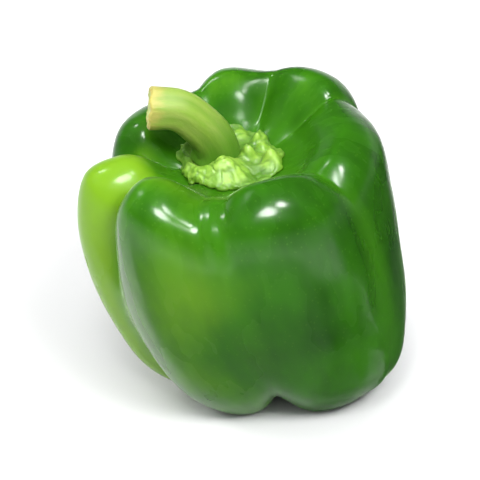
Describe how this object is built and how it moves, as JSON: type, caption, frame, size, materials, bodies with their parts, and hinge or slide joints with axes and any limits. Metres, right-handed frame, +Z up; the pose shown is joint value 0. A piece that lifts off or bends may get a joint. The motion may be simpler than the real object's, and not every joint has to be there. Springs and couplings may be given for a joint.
{
  "type": "bell pepper",
  "caption": "Whole green bell pepper standing on the ends of its lobes, with a crinkled calyx in the hollow at its top and a cut stem that bends to one side.",
  "frame": {"origin": "middle of the bottom of the pepper's box, on the surface it stands on", "axes": "+Z up, -Y the side that the picture shows as the front, -X the side that the stem bends to"},
  "size_m": [0.0868, 0.0866, 0.0891],
  "materials": {
    "fruit_skin": "glossy waxy green skin",
    "calyx": "fleshy yellow-green, satin",
    "stem": "fibrous pale green, satin"
  },
  "bodies": {
    "root": {"fruit": "fruit_skin", "calyx": "calyx", "stem": "stem"}
  },
  "joints": []
}
